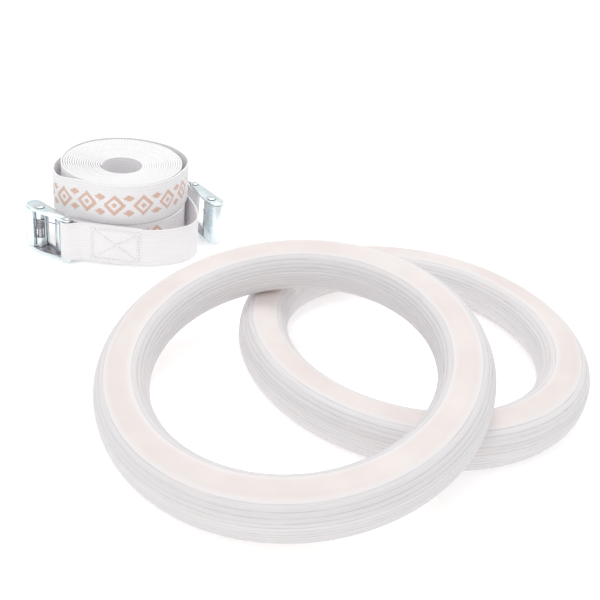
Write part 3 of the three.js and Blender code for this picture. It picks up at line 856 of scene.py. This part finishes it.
def softened(node, name, body, material, width, segments, walls=None):
    """A copy of a pressed-steel CAD piece with its sharp edges rounded over."""
    mesh = CAD_OBJECTS[node].data.copy()
    mesh.materials.clear()
    made = bpy.data.objects.new(name, mesh)
    bpy.context.scene.collection.objects.link(made)
    work = bmesh.new()
    work.from_mesh(mesh)
    bmesh.ops.remove_doubles(work, verts=work.verts, dist=0.01 * MM)
    bmesh.ops.dissolve_limit(
        work, angle_limit=math.radians(1.5), verts=work.verts, edges=work.edges,
    )
    work.to_mesh(mesh)
    work.free()
    # The faces that look into the buckle are marked for painted shade.
    if walls:
        mark_painted_shade(mesh, walls)
    bevel = made.modifiers.new("edges", "BEVEL")
    bevel.width = width * MM
    bevel.segments = segments
    bevel.limit_method = "ANGLE"
    bevel.angle_limit = math.radians(35)
    bevel.use_clamp_overlap = True
    bevel.harden_normals = True
    mesh.shade_smooth()
    mesh.materials.append(material)
    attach(made, body)
    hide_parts(node)


# ---------------------------------------------------------------- camera and studio

SENSOR = 36.0  # mm
LENS = 50.472  # mm
LENS_SHIFT = (0.05967, -0.036)  # across and up, in picture widths
CAMERA_FROM_RING = (-0.1039, -0.4804)  # metres, from the flat ring's middle
CAMERA_HEIGHT = 0.3321
PITCH_DOWN = 0.526  # radians
ROLL = 0.104
SURROUND_LIGHT = 0.82  # how strongly the surround lights the scene; the camera sees it at 1


def add_camera():
    """At the picture's viewing angle, rolled a few degrees, with its lens shift."""
    camera = bpy.data.cameras.new("camera")
    camera.sensor_width = SENSOR
    camera.lens = LENS
    camera.shift_x, camera.shift_y = LENS_SHIFT
    camera.clip_start = 0.01
    holder = bpy.data.objects.new("camera", camera)
    bpy.context.scene.collection.objects.link(holder)
    dx, dy = CAMERA_FROM_RING
    place = Vector((FLAT_RING.x + dx, FLAT_RING.y + dy, CAMERA_HEIGHT))
    turn = Matrix.Rotation(math.pi / 2 - PITCH_DOWN, 4, "X") @ Matrix.Rotation(ROLL, 4, "Z")
    holder.matrix_world = Matrix.Translation(place) @ turn
    bpy.context.scene.camera = holder


def add_area(name, location, target, size, power):
    light = bpy.data.lights.new(name, "AREA")
    light.shape = "DISK"
    light.size = size
    light.energy = power
    holder = bpy.data.objects.new(name, light)
    bpy.context.scene.collection.objects.link(holder)
    holder.location = location
    aim = Vector(target) - Vector(location)
    holder.rotation_euler = aim.to_track_quat("-Z", "Y").to_euler()


def add_world():
    """A white surround that lights the scene a little less brightly than it looks."""
    world = bpy.data.worlds.new("studio")
    world.use_nodes = True
    nodes, links = world.node_tree.nodes, world.node_tree.links
    background = nodes["Background"]
    background.inputs["Color"].default_value = (1.0, 1.0, 1.0, 1.0)
    seen = nodes.new("ShaderNodeLightPath").outputs["Is Camera Ray"]
    strength = nodes.new("ShaderNodeMapRange")
    strength.inputs["To Min"].default_value = SURROUND_LIGHT
    links.new(seen, strength.inputs["Value"])
    links.new(strength.outputs["Result"], background.inputs["Strength"])
    bpy.context.scene.world = world


def add_studio():
    """A white floor and soft white light, with enough bounces for the insides of the rings."""
    add_world()
    bpy.context.scene.view_settings.view_transform = "Standard"
    bpy.context.scene.cycles.max_bounces = 16
    bpy.context.scene.cycles.diffuse_bounces = 12
    add_area("key", (0.1, 0.7, 1.6), (0, 0, 0.03), 0.9, 9.0)
    add_area("fill", (-0.4, -0.85, 1.25), (-0.05, 0.05, 0.03), 0.8, 3.4)
    reach, under = 6, -0.0002
    corners = [(x * reach, y * reach, under) for x, y in ((-1, -1), (1, -1), (1, 1), (-1, 1))]
    floor = make_object("floor", corners, [(0, 1, 2, 3)])
    floor.data.materials.append(floor_paint())


# ---------------------------------------------------------------- the scene

add_camera()
add_studio()

THREAD = thread()
ZINC = zinc("zinc_plate", PLATE_TONE, roughness=0.26, streak=0.6)
# The pins get painted shade on their sides.
PIN = zinc("zinc_pin", PIN_TONE, roughness=0.20, streak=0.2, shaded_sides=0.75)
WIRE = zinc("spring_wire", WIRE_TONE, roughness=0.30, streak=0.2)

flat = Matrix.Translation(FLAT_RING)
ring("flat_ring_wood", "flat_ring", "ring_flat", seed=3.0, place=flat, knots=KNOT_PLACES)
lean_axis = (math.cos(math.radians(LEAN_AXIS_DEG)), math.sin(math.radians(LEAN_AXIS_DEG)), 0)
leaning = Matrix.Translation(LEANING_RING) @ Matrix.Rotation(math.radians(LEAN_DEG), 4, lean_axis)
ring("leaning_ring_wood", "leaning_ring", "ring_leaning", seed=17.0, place=leaning)

LOWER = strap("lower", LOWER_ROLL, LOWER_ROUTE, lower_edge, seed=2.0, ornament=LOWER_ORNAMENT)
UPPER = strap("upper", UPPER_ROLL, UPPER_ROUTE, upper_edge, seed=9.0, ornament=UPPER_ORNAMENT)
for prefix, (piece, route, run), rests in (
    ("lower", LOWER, ["floor"]), ("upper", UPPER, ["lower_strap_webbing"]),
):
    stitches = box_stitch(prefix, route)

for side in ("left", "right"):
    body = f"{side}_buckle"
    walls = buckle_walls(side)
    softened(f"{body}_frame", f"{body}_pressed_frame", body, ZINC, 0.35, 2, walls)
    softened(f"{body}_cam_lever", f"{body}_lever", f"{side}_lever", ZINC, 0.22, 2, walls)
    softened(f"{body}_pivot_pin", f"{body}_pin", body, PIN, 0.3, 2, walls)
    softened(f"{body}_anchor_rod", f"{body}_rod", body, PIN, 0.3, 2, walls)
    softened(f"{body}_torsion_spring", f"{body}_spring", body, WIRE, 0.02, 1)
